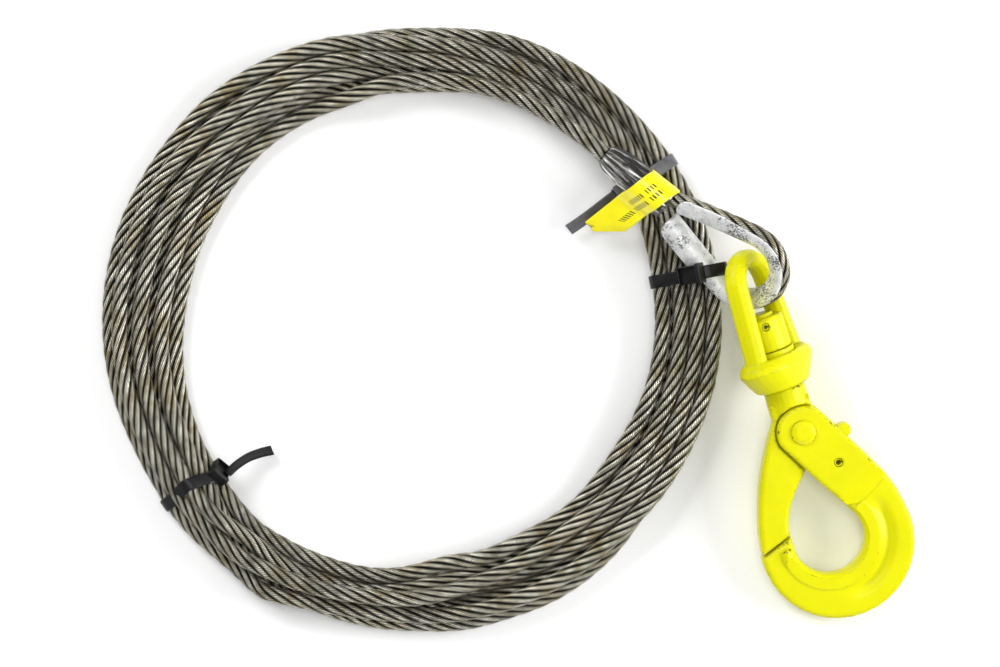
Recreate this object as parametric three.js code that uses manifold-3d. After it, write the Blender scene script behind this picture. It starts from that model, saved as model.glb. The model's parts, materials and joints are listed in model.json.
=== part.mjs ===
// Coiled wire rope winch line with a thimble eye and a swivel self-locking safety hook.
// Millimetres, +Z up. The coil lies flat on the ground plane z = 0.
import * as THREE from 'three';
import { mergeVertices } from 'three/addons/utils/BufferGeometryUtils.js';
import Module from 'manifold-3d';

const wasm = await Module();
wasm.setup();

const GAP = 0.3;
const DEG = Math.PI / 180;

// Rope and coil
const ROPE_R = 4.75;
const COIL_STEPS = 72;
const COIL_MEAN_R = 155.5;
const CENTRE_SHIFT = new THREE.Vector3(-56.27, -0.75, 0);

// Eye frame: x runs from the sleeve to the thimble's bight, z is normal to the thimble
const EYE_POS = new THREE.Vector3(191.0, 36.6, 38.4);
const EYE_HEADING = -38.5 * DEG;
const EYE_PITCH = -3 * DEG;
const EYE_ROLL = 36 * DEG;
const BIGHT_R = 22.6;
const BIGHT_SPAN = 105 * DEG;
const CHANNEL_R = 7.5;
const CHANNEL_BORE = 5.3;
const CHANNEL_LIP = 2.4;
const TIP_X = -48;
const TIP_Y = 7.8;

// Swaged sleeve on the eye frame's x axis
const SLEEVE_R = 9.7;
const SLEEVE_NECK_R = 6.1;
const SLEEVE_CONE = { radius: 8.7, x: -93 };
const SLEEVE_MOUTH_X = -56;
const SLEEVE_SHOULDER_X = -84;
const SLEEVE_NECK_X = -102;
const SPLICE_R = 6.3;

// Hook frame: x across the hook, y up the shank, z normal to the hook's face
const HOOK_POS = new THREE.Vector3(224.4, -58.2, 22.1);
const HOOK_HEADING = 18 * DEG;
const HOOK_PITCH = 7.4 * DEG;
const SHANK_X = -2.5;
const BAIL_ROLL = 54 * DEG;
const BAIL_BAR = { thick: 7, wide: 5.3 };
const BAIL_CROWN_R = 15.8;
const BAIL_FOOT = [20.3, 40];
const BAIL_CROWN_Y = 105;
const BLOCK_BOTTOM = 27.6;
const BLOCK_TOP = 47;
const STEM_R = 7;
const STEM_TOP = 72;
const NUT_R = 12;
const LOAD_PIN_R = 6;
const FORK_R = 15.3;
const FORK_HALF = 11.4;
const SLOT_HALF = 5.4;
const TONGUE_HALF = 5.0;
const WEB_HALF = 7.6;
const ARM_HALF = 8.4;
const TRIGGER_PIVOT = [14, -23];
const TRIGGER_PIN_R = 2.4;

const finish = {
  rope: new THREE.MeshStandardMaterial({ color: 0x5e5a4c, roughness: 0.45, metalness: 0.8 }),
  galvanised: new THREE.MeshStandardMaterial({ color: 0xc9cccb, roughness: 0.5, metalness: 0.7 }),
  sleeve: new THREE.MeshStandardMaterial({ color: 0x6d6c68, roughness: 0.35, metalness: 0.9 }),
  tie: new THREE.MeshStandardMaterial({ color: 0x17171a, roughness: 0.35, metalness: 0 }),
  label: new THREE.MeshStandardMaterial({ color: 0xffee10, roughness: 0.4, metalness: 0 }),
  paint: new THREE.MeshStandardMaterial({ color: 0xe8ea08, roughness: 0.3, metalness: 0 }),
  steel: new THREE.MeshStandardMaterial({ color: 0x9b9b93, roughness: 0.4, metalness: 0.9 }),
};

function named(name, geometry, material) {
  const mesh = new THREE.Mesh(geometry, material);
  mesh.name = name;
  return mesh;
}

function toSolid(geometry) {
  const bare = geometry.index ? geometry.toNonIndexed() : geometry.clone();
  bare.deleteAttribute('normal');
  bare.deleteAttribute('uv');
  const merged = mergeVertices(bare, 1e-4);
  return new wasm.Manifold(new wasm.Mesh({
    numProp: 3,
    vertProperties: new Float32Array(merged.attributes.position.array),
    triVerts: new Uint32Array(merged.index.array),
  }));
}

function fromSolid(solid) {
  const mesh = solid.getMesh();
  const geometry = new THREE.BufferGeometry();
  geometry.setAttribute('position', new THREE.BufferAttribute(new Float32Array(mesh.vertProperties), 3));
  geometry.setIndex(new THREE.BufferAttribute(new Uint32Array(mesh.triVerts), 1));
  geometry.computeVertexNormals();
  return geometry;
}

function joined(...geometries) {
  return geometries.map(toSolid).reduce((whole, piece) => whole.add(piece));
}

function cutAway(solid, ...geometries) {
  return geometries.map(toSolid).reduce((rest, piece) => rest.subtract(piece), solid);
}

function shapeOf(points) {
  return new THREE.Shape(points.map(([x, y]) => new THREE.Vector2(x, y)));
}

// A plate of the given outline, centred on z = 0, with rounded rims when bevel is above 0.
function plate(shape, half, bevel = 0, segments = 10) {
  const geometry = new THREE.ExtrudeGeometry(shape, {
    depth: 2 * (half - bevel),
    bevelEnabled: bevel > 0,
    bevelThickness: bevel,
    bevelSize: bevel,
    bevelOffset: -bevel,
    bevelSegments: 2,
    curveSegments: segments,
  });
  return geometry.translate(0, 0, -(half - bevel));
}

function diskAlongZ(radius, low, high, x = 0, y = 0, segments = 20) {
  const geometry = new THREE.CylinderGeometry(radius, radius, high - low, segments);
  return geometry.rotateX(Math.PI / 2).translate(x, y, (low + high) / 2);
}

// A turned piece about the y axis from [radius, height] pairs.
function turned(profile, segments = 24) {
  return new THREE.LatheGeometry(profile.map(([r, y]) => new THREE.Vector2(r, y)), segments);
}

// A turned ring whose profile closes on itself.
function ring(inner, outer, low, high, segments = 24) {
  return turned([[inner, low], [outer, low], [outer, high], [inner, high], [inner, low]], segments);
}

function ovalSection(radiusX, radiusY, sides) {
  const points = [];
  for (let i = 0; i < sides; i += 1) {
    const angle = (2 * Math.PI * i) / sides;
    points.push([radiusX * Math.cos(angle), radiusY * Math.sin(angle)]);
  }
  return shapeOf(points);
}

function roundSection(radius, sides) {
  return ovalSection(radius, radius, sides);
}

function sweep(section, route, steps) {
  return new THREE.ExtrudeGeometry(section, { steps, bevelEnabled: false, extrudePath: route });
}

function smoothRoute(points) {
  return new THREE.CatmullRomCurve3(points.map((p) => new THREE.Vector3(...p)), false, 'centripetal');
}

// ---- Coil -------------------------------------------------------------------------------

const TIE_ANGLES = { cable_tie_lower: 215.5, cable_tie_right: 11, cable_tie_upper: 33 };

function bump(angle, centre, spread) {
  const away = ((angle - centre + 540) % 360) - 180;
  return Math.exp(-((away / spread) ** 2));
}

// The bundle of turns at a compass angle: its middle radius, half width and height, and how far
// it is lifted where a tie passes underneath.
function coilSection(angle) {
  const middle = COIL_MEAN_R + 5.8 * bump(angle, 32, 40) + 3.6 * bump(angle, 232, 18);
  const narrow = 5.4 * bump(angle, 238, 24) + 2.2 * bump(angle, 35, 22);
  const wide = 5.2 * bump(angle, 160, 30) + 2.4 * bump(angle, 305, 20);
  const half = 18.8 - narrow + wide;
  const height = 18 + 1.1 * narrow - 0.1 * wide;
  const lift = 2.2 * Math.max(...Object.values(TIE_ANGLES).map((tie) => bump(angle, tie, 9)));
  return { middle, half, height, lift };
}

function ropeCoil() {
  const profile = [];
  const outline = [[-0.62, 0], [0.62, 0], [0.93, 0.2], [1, 0.5], [0.86, 0.82], [0.45, 1],
    [-0.45, 1], [-0.86, 0.82], [-1, 0.5], [-0.93, 0.2], [-0.62, 0]];
  outline.forEach(([across, up]) => profile.push([COIL_MEAN_R + across, up]));
  const geometry = turned(profile, COIL_STEPS);
  const position = geometry.attributes.position;
  for (let i = 0; i < position.count; i += 1) {
    const [x, up, z] = [position.getX(i), position.getY(i), position.getZ(i)];
    const angle = Math.atan2(-z, x);
    const { middle, half, height, lift } = coilSection((angle / DEG + 360) % 360);
    const radius = middle + (Math.hypot(x, z) - COIL_MEAN_R) * half;
    position.setXYZ(i, radius * Math.cos(angle), radius * Math.sin(angle), lift + up * (height - lift));
  }
  return geometry;
}

// ---- Eye: thimble, rope legs, sleeve, label ----------------------------------------------

function eyeRoute(tipX, tipY) {
  const path = new THREE.Path();
  const startX = BIGHT_R * Math.cos(BIGHT_SPAN);
  const startY = BIGHT_R * Math.sin(BIGHT_SPAN);
  const pull = 20;
  const controlX = startX - pull * Math.sin(BIGHT_SPAN);
  const controlY = startY + pull * Math.cos(BIGHT_SPAN);
  path.moveTo(tipX, -tipY);
  path.quadraticCurveTo(controlX, -controlY, startX, -startY);
  path.absarc(0, 0, BIGHT_R, -BIGHT_SPAN, BIGHT_SPAN, false);
  path.quadraticCurveTo(controlX, controlY, tipX, tipY);
  return smoothRoute(path.getSpacedPoints(28).map((p) => [p.x, p.y, 0]));
}

// U channel, open outwards: the sweep's local x is -z and its local y points into the eye.
function channelSection() {
  const shape = new THREE.Shape();
  shape.moveTo(CHANNEL_R, -CHANNEL_LIP);
  shape.lineTo(CHANNEL_R, 0);
  shape.absarc(0, 0, CHANNEL_R, 0, Math.PI, false);
  shape.lineTo(-CHANNEL_R, -CHANNEL_LIP);
  shape.lineTo(-CHANNEL_BORE, -CHANNEL_LIP);
  shape.lineTo(-CHANNEL_BORE, 0);
  shape.absarc(0, 0, CHANNEL_BORE, Math.PI, 0, true);
  shape.lineTo(CHANNEL_BORE, -CHANNEL_LIP);
  return shape;
}

function thimble() {
  return new THREE.ExtrudeGeometry(channelSection(), {
    steps: 30,
    bevelEnabled: false,
    curveSegments: 5,
    extrudePath: eyeRoute(TIP_X, TIP_Y),
  });
}

function ropeEye() {
  return sweep(roundSection(ROPE_R, 10), eyeRoute(SLEEVE_MOUTH_X + GAP + 1.5, ROPE_R + 0.4), 30);
}

function alongX(geometry) {
  return geometry.rotateZ(-Math.PI / 2);
}

function swageSleeve() {
  return alongX(turned([
    [ROPE_R + 0.35, SLEEVE_NECK_X], [SLEEVE_NECK_R, SLEEVE_NECK_X],
    [SLEEVE_CONE.radius, SLEEVE_CONE.x], [SLEEVE_R, SLEEVE_SHOULDER_X],
    [SLEEVE_R, SLEEVE_MOUTH_X - 1.5], [SLEEVE_R - 0.8, SLEEVE_MOUTH_X], [SPLICE_R + GAP, SLEEVE_MOUTH_X],
    [SPLICE_R + GAP, SLEEVE_SHOULDER_X], [ROPE_R + 0.35, SLEEVE_NECK_X + 6],
    [ROPE_R + 0.35, SLEEVE_NECK_X],
  ], 28));
}

// Tucked strands inside the sleeve, between the lead and the two legs of the eye.
function ropeSplice() {
  return alongX(turned([
    [0, SLEEVE_NECK_X], [ROPE_R, SLEEVE_NECK_X], [ROPE_R, SLEEVE_NECK_X + 5.5],
    [SPLICE_R, SLEEVE_SHOULDER_X + 1], [SPLICE_R, SLEEVE_MOUTH_X], [0, SLEEVE_MOUTH_X],
  ], 20));
}

const LABEL = {
  width: 18,
  inner: SLEEVE_R + GAP,
  thick: 0.5,
  flagLength: 34,
  middleX: -67.5,
  drift: 9.5,
  droop: 30 * DEG,
};

// A strip round the sleeve with its two ends stuck together as a flag.
function inspectionLabel() {
  const outer = LABEL.inner + LABEL.thick;
  const band = new THREE.Shape().absarc(0, 0, outer, 0, 2 * Math.PI, false);
  band.holes.push(new THREE.Path().absarc(0, 0, LABEL.inner, 0, 2 * Math.PI, true));
  const loop = plate(band, LABEL.width / 2, 0, 32);
  const [root, end, half] = [outer - 0.3, outer + LABEL.flagLength, LABEL.width / 2];
  const flag = plate(shapeOf([
    [root, -half], [end, LABEL.drift - half], [end, LABEL.drift + half], [root, half],
  ]), LABEL.thick);
  flag.rotateX(Math.PI / 2);
  const label = fromSolid(joined(loop, flag));
  return label.rotateX(Math.PI / 2).rotateZ(-Math.PI / 2);
}

// ---- Rope lead ---------------------------------------------------------------------------

// Route of the rope from the sleeve's neck to where it joins the coil: compass angle, radius, height.
const LEAD_ROUTE = [
  [50, 147.4, 28.6], [56, 146.9, 26], [63, 146.6, 24.2], [71, 146.4, 23.2],
  [80, 146, 23.1], [90, 145.6, 23.1], [98, 145.2, 23.1],
];

function ropeLead(neck) {
  const points = LEAD_ROUTE.map(([angle, radius, height]) => [
    radius * Math.cos(angle * DEG), radius * Math.sin(angle * DEG), height,
  ]);
  points.unshift(...neck);
  return sweep(roundSection(ROPE_R, 10), smoothRoute(points), 30);
}

// ---- Cable ties --------------------------------------------------------------------------

const TIE = { width: 7.6, thick: 1.4, head: [8, 11, 6.5], tailLength: 27 };

// Strap outline round the bundle in the plane of radius and height, at a distance outside it.
function strapOutline(angle, away) {
  const { half, height, lift } = coilSection(angle);
  const outline = [[-0.7, 0], [0.7, 0], [0.97, 0.2], [1, 0.5], [0.9, 0.84], [0.52, 1], [-0.52, 1],
    [-0.9, 0.84], [-1, 0.5], [-0.97, 0.2]];
  const [low, high] = [lift - 0.2 - away, height + away];
  return outline.map(([across, up]) => [across * (half + 0.6 + away), low + up * (high - low)]);
}

function strapLoop(points, innerPoints) {
  const band = shapeOf(points);
  band.holes.push(new THREE.Path(innerPoints.map(([x, y]) => new THREE.Vector2(x, y))));
  return plate(band, TIE.width / 2);
}

function plainTie(angle) {
  const { half, height } = coilSection(angle);
  const loop = strapLoop(strapOutline(angle, GAP + TIE.thick), strapOutline(angle, GAP));
  const head = new THREE.BoxGeometry(...TIE.head);
  head.translate(-half - GAP - TIE.head[0] / 2 - 0.9, height * 0.6, 0);
  const tail = new THREE.BoxGeometry(TIE.tailLength, TIE.thick, TIE.width * 0.9);
  tail.translate(-half - TIE.head[0] - TIE.tailLength / 2 + 1, height * 0.6 + 1.6, 0);
  return fromSolid(joined(loop, head, tail));
}

// The right-hand tie also takes in the thimble's lower leg, which lies on the bundle's rim.
const THIMBLE_TIE = [[-12.7, 1.7], [12.7, 1.7], [18.6, 5.6], [20, 11], [22.8, 19.4], [25.4, 23.2],
  [26, 26.2], [25, 29.6], [22.6, 32.6], [15.4, 35.4], [12.4, 36], [9, 35.6], [6.2, 34.4], [-12.4, 20.8],
  [-17, 17.4], [-19.2, 11], [-18, 5]];

function thimbleTie() {
  const centre = [3, 17];
  const outer = THIMBLE_TIE.map(([x, y]) => {
    const away = Math.hypot(x - centre[0], y - centre[1]);
    const grow = (away + TIE.thick) / away;
    return [centre[0] + (x - centre[0]) * grow, centre[1] + (y - centre[1]) * grow];
  });
  const head = new THREE.BoxGeometry(TIE.head[1], TIE.head[2], TIE.head[0]);
  head.rotateZ(33 * DEG).translate(2.6, 36.2, 0);
  return fromSolid(joined(strapLoop(outer, THIMBLE_TIE), head));
}

function placeTie(mesh, angle) {
  const holder = new THREE.Group();
  holder.rotation.set(Math.PI / 2, 0, 0);
  mesh.position.set(coilSection(angle).middle, 0, 0);
  holder.add(mesh);
  const turn = new THREE.Group();
  turn.rotation.z = angle * DEG;
  turn.add(holder);
  return turn;
}

// ---- Hook --------------------------------------------------------------------------------

// Bail: round bar over the crown, ending in a flared block that houses the thrust bearing.
function bailBar() {
  const [footX, footY] = BAIL_FOOT;
  const crownY = BAIL_CROWN_Y - BAIL_CROWN_R;
  const reach = Math.hypot(footX, crownY - footY);
  const lean = Math.atan2(footX, crownY - footY) - Math.asin(BAIL_CROWN_R / reach);
  const path = new THREE.Path();
  path.moveTo(footX, footY);
  path.lineTo(BAIL_CROWN_R * Math.cos(lean), crownY + BAIL_CROWN_R * Math.sin(lean));
  path.absarc(0, crownY, BAIL_CROWN_R, lean, Math.PI - lean, false);
  path.lineTo(-footX, footY);
  const route = smoothRoute(path.getSpacedPoints(26).map((p) => [p.x, p.y, 0]));
  return sweep(ovalSection(BAIL_BAR.thick, BAIL_BAR.wide, 12), route, 28);
}

// How much wider and thicker than round the block is, from its foot's share up to its full flare.
const BLOCK_FLARE = { wide: 2.14, thick: 1.3, atFoot: 0.25, fullAt: 40 };

function bailBlock() {
  const geometry = turned([
    [0, BLOCK_BOTTOM], [13.2, BLOCK_BOTTOM], [14, BLOCK_BOTTOM + 1.2], [14, 34], [14, 41],
    [13.4, 44.5], [11.8, BLOCK_TOP], [0, BLOCK_TOP],
  ], 28);
  const position = geometry.attributes.position;
  for (let i = 0; i < position.count; i += 1) {
    const share = (position.getY(i) - BLOCK_BOTTOM) / (BLOCK_FLARE.fullAt - BLOCK_BOTTOM);
    const rise = BLOCK_FLARE.atFoot + (1 - BLOCK_FLARE.atFoot) * Math.min(1, Math.max(0, share));
    position.setX(i, position.getX(i) * (1 + (BLOCK_FLARE.wide - 1) * rise));
    position.setZ(i, position.getZ(i) * (1 + (BLOCK_FLARE.thick - 1) * rise));
  }
  return geometry;
}

const BEARING = { outer: 12.8, pocket: 13.2, pocketFloor: 38.6 };

function bail() {
  const bore = solidTurned(STEM_R + GAP, 20, 60);
  const pocket = solidTurned(BEARING.pocket, BEARING.pocketFloor, 60);
  return fromSolid(cutAway(joined(bailBar(), bailBlock()), bore, pocket));
}

function solidTurned(radius, low, high, segments = 24) {
  return turned([[0, low], [radius, low], [radius, high], [0, high]], segments);
}

function ballRing() {
  const cage = ring(9.6, 11.6, 43.2, 44.4);
  const balls = [];
  for (let i = 0; i < 10; i += 1) {
    const angle = (i * Math.PI) / 5;
    const ball = new THREE.SphereGeometry(2.05, 8, 6);
    ball.translate(10.3 * Math.cos(angle), 43.8, 10.3 * Math.sin(angle));
    balls.push(ball);
  }
  return fromSolid(joined(cage, ...balls));
}

function swivelNut() {
  const body = turned([
    [STEM_R + GAP, 50.2], [NUT_R - 0.6, 50.2], [NUT_R, 50.8], [NUT_R, 68.8], [NUT_R - 1, 69.8],
    [STEM_R + GAP, 69.8], [STEM_R + GAP, 50.2],
  ]);
  return fromSolid(cutAway(toSolid(body), diskAlongZ(2.3, -20, 20, 0, 65, 16)));
}

function springPin(radius, half) {
  const shape = new THREE.Shape();
  const slit = 14 * DEG;
  shape.absarc(0, 0, radius, slit, 2 * Math.PI - slit, false);
  shape.absarc(0, 0, radius * 0.62, 2 * Math.PI - slit, slit, true);
  return plate(shape, half, 0, 14);
}

// Outline of the piece that carries the shank, the hub and the gate arm.
function gateOutline() {
  const shape = new THREE.Shape();
  shape.moveTo(SHANK_X - 12.2, 20);
  shape.lineTo(SHANK_X - 12.2, 10);
  shape.quadraticCurveTo(-24, -4, -31, -18);
  shape.quadraticCurveTo(-39, -36, -42.4, -52);
  shape.lineTo(-43.9, -62.4);
  shape.lineTo(-25, -55.6);
  shape.quadraticCurveTo(-23.5, -43, -15, -33);
  shape.quadraticCurveTo(-9, -26, -4, -21);
  shape.lineTo(6, -12.2);
  shape.absarc(0, 0, 13.6, -63 * DEG, 46 * DEG, false);
  shape.lineTo(SHANK_X + 12.2, 14);
  shape.lineTo(SHANK_X + 12.2, 20);
  return shape;
}

// Room for the fork's cheeks on each side of the tongue.
function cheekRoom() {
  const shape = new THREE.Shape();
  const reach = FORK_R + 0.9;
  shape.absarc(0, 0, reach, -20 * DEG, 202 * DEG, false);
  shape.lineTo(-1.2, -31);
  shape.lineTo(12, -48);
  shape.lineTo(40, -30);
  return plate(shape, 10, 0, 16);
}

function gateShank() {
  const arm = plate(gateOutline(), ARM_HALF, 2.6, 8);
  const stem = solidTurned(STEM_R, 18, STEM_TOP);
  const collar = turned([[0, 13.5], [11.4, 13.5], [12.2, 15], [12.2, 26.4], [11.6, BLOCK_BOTTOM - 0.5],
    [0, BLOCK_BOTTOM - 0.5]]);
  const whole = joined(arm, stem.translate(SHANK_X, 0, 0), collar.translate(SHANK_X, 0, 0));
  const room = cheekRoom();
  const upper = room.clone().translate(0, 0, 10 + TONGUE_HALF);
  const lower = room.translate(0, 0, -10 - TONGUE_HALF);
  const pinHole = diskAlongZ(LOAD_PIN_R + GAP, -15, 15);
  const crossHole = diskAlongZ(2.3, -20, 20, SHANK_X, 65, 16);
  return fromSolid(cutAway(whole, upper, lower, pinHole, crossHole));
}

const BOWL = { innerX: -4, innerY: -64.5, innerR: 21, outerX: 0, outerY: -68, outerR: 44.8 };

// The hook body's outline, from the fork head round the back to the tip and back up inside.
function hookOutline() {
  const shape = new THREE.Shape();
  shape.absarc(0, 0, FORK_R, 195 * DEG, 30 * DEG, true);
  shape.quadraticCurveTo(24, -10, 34, -29);
  shape.quadraticCurveTo(41, -42, 43, -54);
  shape.absarc(BOWL.outerX, BOWL.outerY, BOWL.outerR, 12 * DEG, -185 * DEG, true);
  shape.lineTo(-24.8, -56.4);
  shape.absarc(BOWL.innerX, BOWL.innerY, BOWL.innerR, 170 * DEG, 395 * DEG, false);
  shape.lineTo(0, -31);
  return shape;
}

function forkOutline() {
  const shape = new THREE.Shape();
  shape.absarc(0, 0, FORK_R, 195 * DEG, 30 * DEG, true);
  shape.quadraticCurveTo(23.6, -10.4, 33.4, -28.6);
  shape.lineTo(37.4, -37);
  shape.quadraticCurveTo(30, -45, 17, -49);
  shape.lineTo(11, -48);
  shape.lineTo(0.6, -31.4);
  return shape;
}

// Thick rounded bead that follows the inside of the bowl.
function bowlBead() {
  const points = [];
  const beadR = BOWL.innerR + 5.2;
  for (let angle = 176; angle <= 392; angle += 12) {
    const [across, up] = [beadR * Math.cos(angle * DEG), beadR * Math.sin(angle * DEG)];
    points.push([BOWL.innerX + across, BOWL.innerY + up, 0]);
  }
  return sweep(ovalSection(10.4, 5.4, 12), smoothRoute(points), 24);
}

function hookBody() {
  const web = plate(hookOutline(), WEB_HALF, 2.4, 10);
  const fork = plate(forkOutline(), FORK_HALF, 1.6, 7);
  const slot = new THREE.BoxGeometry(90, 64, 2 * SLOT_HALF).translate(5, -2, 0);
  const pinHole = diskAlongZ(LOAD_PIN_R + GAP, -15, 15);
  const triggerHole = diskAlongZ(TRIGGER_PIN_R + GAP, -15, 15, ...TRIGGER_PIVOT, 18);
  return fromSolid(cutAway(joined(web, bowlBead(), fork), slot, pinHole, triggerHole));
}

function loadPin() {
  const half = FORK_HALF + GAP;
  return turned([
    [0, -half - 1.8], [4.5, -half - 1.8], [7.2, -half - 0.7], [7.2, -half], [LOAD_PIN_R, -half],
    [LOAD_PIN_R, half], [7.2, half], [7.2, half + 0.7], [4.5, half + 1.8], [0, half + 1.8],
  ]).rotateX(Math.PI / 2);
}

// Trigger: lever between the cheeks with a thumb tab at the back and a nose at the hub.
function trigger() {
  const [px, py] = TRIGGER_PIVOT;
  const shape = new THREE.Shape();
  shape.moveTo(12.4, -10.2);
  shape.lineTo(16.6, -8.6);
  shape.quadraticCurveTo(18.4, -4.6, 20.6, -3.2);
  shape.quadraticCurveTo(26.6, -2.4, 27.2, -6.6);
  shape.quadraticCurveTo(26.8, -10.6, 22.8, -11.6);
  shape.quadraticCurveTo(20.4, -14, 20, -18);
  shape.absarc(px, py, 6.2, 38 * DEG, -190 * DEG, true);
  shape.quadraticCurveTo(8.6, -16, 10.4, -11);
  const lever = toSolid(plate(shape, TONGUE_HALF - 0.2, 0.8, 8));
  const springSeat = diskAlongZ(6.9, 1.4, 8, px, py, 24);
  const pinHole = diskAlongZ(TRIGGER_PIN_R + GAP, -15, 15, px, py, 18);
  return fromSolid(cutAway(lever, springSeat, pinHole));
}

// Torsion spring round the trigger pin, with one leg down to the slot's floor.
function triggerSpring() {
  const [px, py] = TRIGGER_PIVOT;
  const coilR = 3.9;
  const points = [];
  for (let i = 0; i <= 30; i += 1) {
    const angle = -90 * DEG + (i * 2 * Math.PI) / 12;
    points.push([px + coilR * Math.cos(angle), py + coilR * Math.sin(angle), 2.3 + (i * 2.1) / 30]);
  }
  points.unshift([px - 5, py - coilR - 1.8, 2.3]);
  points.push([px + 1, py + 6, 4.4]);
  return sweep(roundSection(0.42, 5), smoothRoute(points), 36);
}

// ---- Assembly ----------------------------------------------------------------------------

const part = new THREE.Group();
const sling = new THREE.Group();
sling.position.copy(CENTRE_SHIFT);
part.add(sling);

sling.add(named('rope_coil', ropeCoil(), finish.rope));

const eye = new THREE.Group();
eye.position.copy(EYE_POS);
eye.rotation.set(EYE_ROLL, EYE_PITCH, EYE_HEADING, 'ZYX');
eye.add(named('thimble', thimble(), finish.galvanised));
eye.add(named('rope_eye', ropeEye(), finish.rope));
eye.add(named('rope_splice', ropeSplice(), finish.rope));
eye.add(named('swage_sleeve', swageSleeve(), finish.sleeve));
const label = named('inspection_label', inspectionLabel(), finish.label);
label.position.set(LABEL.middleX, 0, 0);
label.rotation.x = LABEL.droop - EYE_ROLL;
eye.add(label);
sling.add(eye);

eye.updateMatrix();
const neck = [SLEEVE_NECK_X - GAP, SLEEVE_NECK_X - 6].map((x) => (
  new THREE.Vector3(x, 0, 0).applyMatrix4(eye.matrix).toArray()
));
sling.add(named('rope_lead', ropeLead(neck), finish.rope));

Object.entries(TIE_ANGLES).forEach(([name, angle]) => {
  const geometry = name === 'cable_tie_right' ? thimbleTie() : plainTie(angle);
  sling.add(placeTie(named(name, geometry, finish.tie), angle));
});

const hook = new THREE.Group();
hook.position.copy(HOOK_POS);
hook.rotation.set(HOOK_PITCH, 0, HOOK_HEADING, 'ZYX');
const bailGroup = new THREE.Group();
bailGroup.position.x = SHANK_X;
bailGroup.rotation.y = BAIL_ROLL;
bailGroup.add(named('bail', bail(), finish.paint));
bailGroup.add(named('bearing_lower_race', ring(STEM_R + 0.4, BEARING.outer, 38.9, 41.4), finish.steel));
bailGroup.add(named('bearing_ball_ring', ballRing(), finish.steel));
hook.add(bailGroup);

const upperRace = named('bearing_upper_race', ring(STEM_R + 0.4, BEARING.outer, 46.2, 49.8), finish.paint);
const nut = named('swivel_nut', swivelNut(), finish.paint);
[upperRace, nut].forEach((mesh) => {
  mesh.position.x = SHANK_X;
  hook.add(mesh);
});
const nutPin = named('nut_pin', springPin(1.95, 11.2), finish.paint);
nutPin.position.set(SHANK_X, 65, 0);
hook.add(nutPin);
hook.add(named('gate_shank', gateShank(), finish.paint));
hook.add(named('hook_body', hookBody(), finish.paint));
hook.add(named('load_pin', loadPin(), finish.paint));
hook.add(named('trigger', trigger(), finish.paint));
const triggerPin = named('trigger_pin', springPin(TRIGGER_PIN_R, 9.8), finish.paint);
triggerPin.position.set(...TRIGGER_PIVOT, 0);
hook.add(triggerPin);
hook.add(named('trigger_spring', triggerSpring(), finish.steel));
sling.add(hook);

export default part;
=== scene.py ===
"""Looks for the coiled wire rope winch line with its thimble eye and swivel self-locking hook."""
import json
import math

import bmesh
import bpy
import numpy as np
from mathutils import Matrix, Vector


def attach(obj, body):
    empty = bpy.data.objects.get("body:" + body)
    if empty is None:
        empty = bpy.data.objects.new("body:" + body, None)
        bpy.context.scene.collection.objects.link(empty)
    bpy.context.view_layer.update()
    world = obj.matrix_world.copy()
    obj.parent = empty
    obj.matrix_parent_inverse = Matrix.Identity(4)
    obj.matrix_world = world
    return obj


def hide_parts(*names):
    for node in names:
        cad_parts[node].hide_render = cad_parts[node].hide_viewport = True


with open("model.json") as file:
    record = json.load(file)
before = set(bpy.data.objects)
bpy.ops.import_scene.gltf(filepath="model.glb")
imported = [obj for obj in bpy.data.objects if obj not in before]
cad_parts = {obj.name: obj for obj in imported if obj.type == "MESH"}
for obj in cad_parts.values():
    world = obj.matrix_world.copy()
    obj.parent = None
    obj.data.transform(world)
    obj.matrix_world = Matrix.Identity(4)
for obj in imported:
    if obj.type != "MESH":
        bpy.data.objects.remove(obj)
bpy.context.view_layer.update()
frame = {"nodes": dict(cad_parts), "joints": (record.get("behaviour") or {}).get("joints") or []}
MM = 0.001

# ---- Frames shared with the CAD model ------------------------------------------------------
# HOOK: origin on the load pin's axis, y up the shank, z along the load pin.
# EYE: origin in the thimble's bight, x away from the sleeve, z out of the eye's plane.

EYE_HEADING, EYE_PITCH, EYE_ROLL = -38.5, -3, 36
COIL_CENTRE = np.array([-56.27, -0.75, 0.0]) * MM
JOINTS = {j["name"]: j for j in frame["joints"]}


def unit(v):
    """Vectors at length one."""
    v = np.asarray(v, float)
    return v / np.linalg.norm(v, axis=-1, keepdims=True)


def axes_matrix(x, y, z, origin):
    """A 4 by 4 frame from its three axes and origin."""
    m = np.eye(4)
    m[:3, 0], m[:3, 1], m[:3, 2], m[:3, 3] = x, y, z, origin
    return m


hook_z = unit(JOINTS["hook_open"]["axis"])
hook_y = unit(JOINTS["swivel"]["axis"])
HOOK = axes_matrix(np.cross(hook_y, hook_z), hook_y, hook_z, JOINTS["hook_open"]["pos_m"])
EYE = np.array(
    Matrix.Rotation(math.radians(EYE_HEADING), 4, "Z")
    @ Matrix.Rotation(math.radians(EYE_PITCH), 4, "Y")
    @ Matrix.Rotation(math.radians(EYE_ROLL), 4, "X")
)
EYE[:3, 3] = JOINTS["bail_swing"]["pos_m"]


def place(matrix, points):
    """Points given in a frame, in world metres."""
    return np.asarray(points, float) @ matrix[:3, :3].T + matrix[:3, 3]


# ---- Mesh helpers ------------------------------------------------------------------------


def facing_out(verts, faces):
    """Whether the closed skin's faces point out, from its signed volume."""
    centred = verts - verts.mean(0)
    a, b, c = centred[faces[:, 0]], centred[faces[:, 1]], centred[faces[:, 2]]
    d = centred[faces[:, 3]]
    return float((a * np.cross(b, c)).sum() + (a * np.cross(c, d)).sum()) >= 0


def linked(name, data):
    """A new object of this mesh, camera or light, in the scene."""
    obj = bpy.data.objects.new(name, data)
    bpy.context.scene.collection.objects.link(obj)
    return obj


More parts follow.
